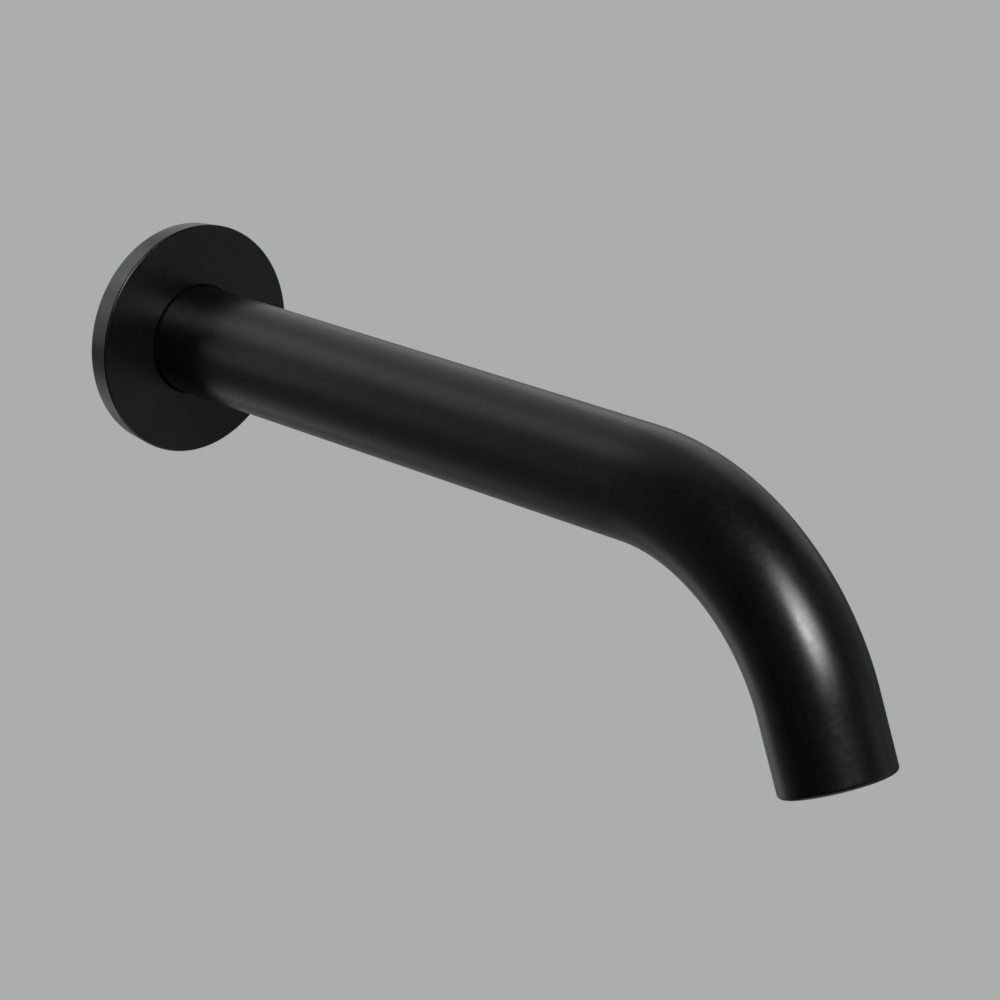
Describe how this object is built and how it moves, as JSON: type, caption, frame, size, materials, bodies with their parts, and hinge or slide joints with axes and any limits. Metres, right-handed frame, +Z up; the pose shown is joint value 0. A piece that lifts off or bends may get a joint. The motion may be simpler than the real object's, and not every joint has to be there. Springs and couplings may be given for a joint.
{
  "type": "wall-mounted bath spout",
  "caption": "Wall-mounted bath spout: round bent tube with a flat round sliding escutcheon, wall nipple, locking screw and screw-in aerator, in matt black.",
  "frame": {"origin": "centre of the tube's axis in the plane of the finished wall, where the nipple's collar bears", "axes": "+Z up, +Y into the wall along the nipple's thread, so the spout reaches out along -Y; X is across, and the part is mirror-symmetric in X"},
  "size_m": [0.06, 0.2572, 0.09],
  "materials": {
    "matt_black": "fine-textured matt black powder coat on brass",
    "raw_brass": "machined, uncoated",
    "black_rubber": "moulded elastomer, slightly greased",
    "grey_foam": "closed-cell foam",
    "blackened_steel": "black oxide",
    "nylon": "turned nylon",
    "blackened_brass": "satin black plated brass",
    "white_plastic": "moulded acetal",
    "amber_plastic": "moulded, translucent amber",
    "dark_plastic": "moulded, dark grey",
    "steel_mesh": "woven stainless wire"
  },
  "bodies": {
    "spout": {"spout_tube": "matt_black", "inlet_bush": "raw_brass", "outlet_bush": "matt_black", "wall_nipple": "raw_brass", "wall_o_ring": "black_rubber", "nipple_o_ring_rear": "black_rubber", "nipple_o_ring_front": "black_rubber"},
    "escutcheon_slider": {"escutcheon_guide": "dark_plastic", "escutcheon_o_ring": "black_rubber"},
    "escutcheon_plate": {"escutcheon": "matt_black", "escutcheon_gasket": "grey_foam"},
    "screw_tip": {"grub_screw_tip": "nylon"},
    "screw": {"grub_screw": "blackened_steel"},
    "aerator_seal": {"aerator_washer": "black_rubber"},
    "aerator": {"aerator_housing": "blackened_brass", "aerator_filter": "white_plastic", "flow_regulator_body": "amber_plastic", "flow_regulator_ring": "black_rubber", "jet_splitter": "white_plastic", "mixing_sleeve": "white_plastic", "upper_screen": "steel_mesh", "screen_ring": "white_plastic", "lower_screen": "steel_mesh", "outlet_grid": "dark_plastic"}
  },
  "joints": [
    {"name": "escutcheon_slide", "type": "slide", "parent": "spout", "child": "escutcheon_slider", "axis": [0, -1, 0], "range_m": [0, 0.15]},
    {"name": "escutcheon_spin", "type": "hinge", "parent": "escutcheon_slider", "child": "escutcheon_plate", "pos_m": [0, 0, 0], "axis": [0, -1, 0], "continuous": true},
    {"name": "screw_travel", "type": "slide", "parent": "spout", "child": "screw_tip", "axis": [0, 0, -1], "range_m": [0, 0.0012]},
    {"name": "screw_turn", "type": "hinge", "parent": "screw_tip", "child": "screw", "pos_m": [0, -0.01, -0.0126], "axis": [0, 0, -1], "range_deg": [0, 540]},
    {"name": "aerator_travel", "type": "slide", "parent": "spout", "child": "aerator_seal", "axis": [0, -0.3584, -0.9336], "range_m": [0, 0.005]},
    {"name": "aerator_turn", "type": "hinge", "parent": "aerator_seal", "child": "aerator", "pos_m": [0, -0.22947, -0.0553], "axis": [0, -0.3584, -0.9336], "range_deg": [0, 1800]}
  ],
  "couplings": [
    {"joint": "screw_turn", "follows": "screw_travel", "rad_per_m": 7854},
    {"joint": "aerator_travel", "follows": "aerator_turn", "m_per_rad": 0.00015915}
  ]
}
